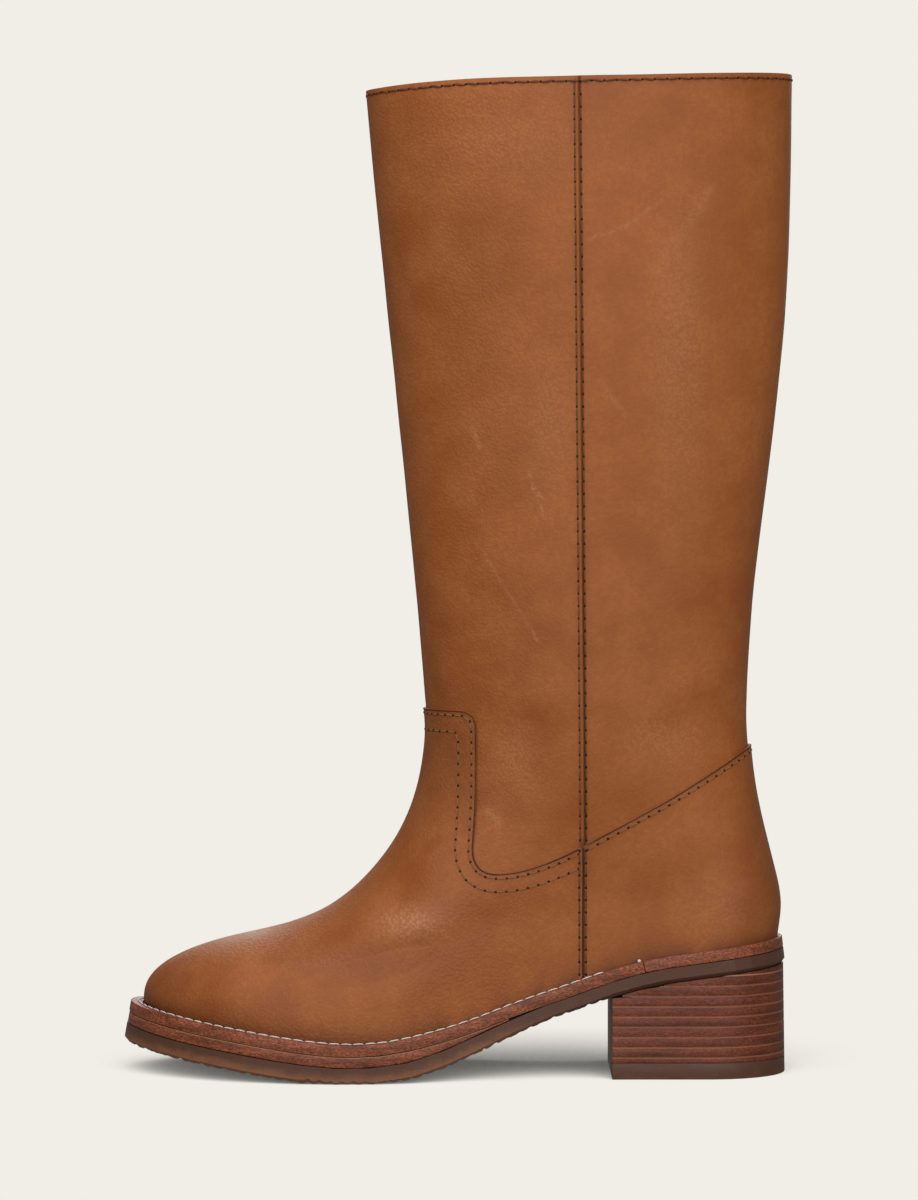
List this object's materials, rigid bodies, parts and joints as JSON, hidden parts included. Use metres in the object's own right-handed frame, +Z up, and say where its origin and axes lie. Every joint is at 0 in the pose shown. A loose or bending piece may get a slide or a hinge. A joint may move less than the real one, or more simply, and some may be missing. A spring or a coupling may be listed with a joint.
{
  "type": "knee-high boot",
  "caption": "Pull-on knee-high boot with a hollow leather upper, lapped vamp and heel counter, stitched welt, layered sole and a stacked block heel",
  "frame": {"origin": "on the floor, under the centre of the boot's bounding box", "axes": "+Z up along the leg, -X towards the toe, -Y towards the outer (lateral) side of this left boot"},
  "size_m": [0.2666, 0.0932, 0.3976],
  "materials": {
    "upper_leather": "oiled tan pull-up leather",
    "lining": "natural unfinished lining leather",
    "edge_leather": "stained and waxed sole-leather edge",
    "heel_leather": "stacked, stained and polished lifts",
    "sole_rubber": "crepe-like brown rubber"
  },
  "bodies": {
    "root": {"upper": "upper_leather", "vamp": "upper_leather", "counter": "upper_leather", "insole": "lining", "welt": "edge_leather", "heel_rand": "edge_leather", "midsole": "edge_leather", "outsole": "sole_rubber", "heel_top_lift": "sole_rubber", "heel_lift_1": "heel_leather", "heel_lift_2": "heel_leather", "heel_lift_3": "heel_leather", "heel_lift_4": "heel_leather", "heel_lift_5": "heel_leather", "heel_lift_6": "heel_leather", "heel_lift_7": "heel_leather", "heel_lift_8": "heel_leather", "heel_lift_9": "heel_leather"}
  },
  "joints": []
}
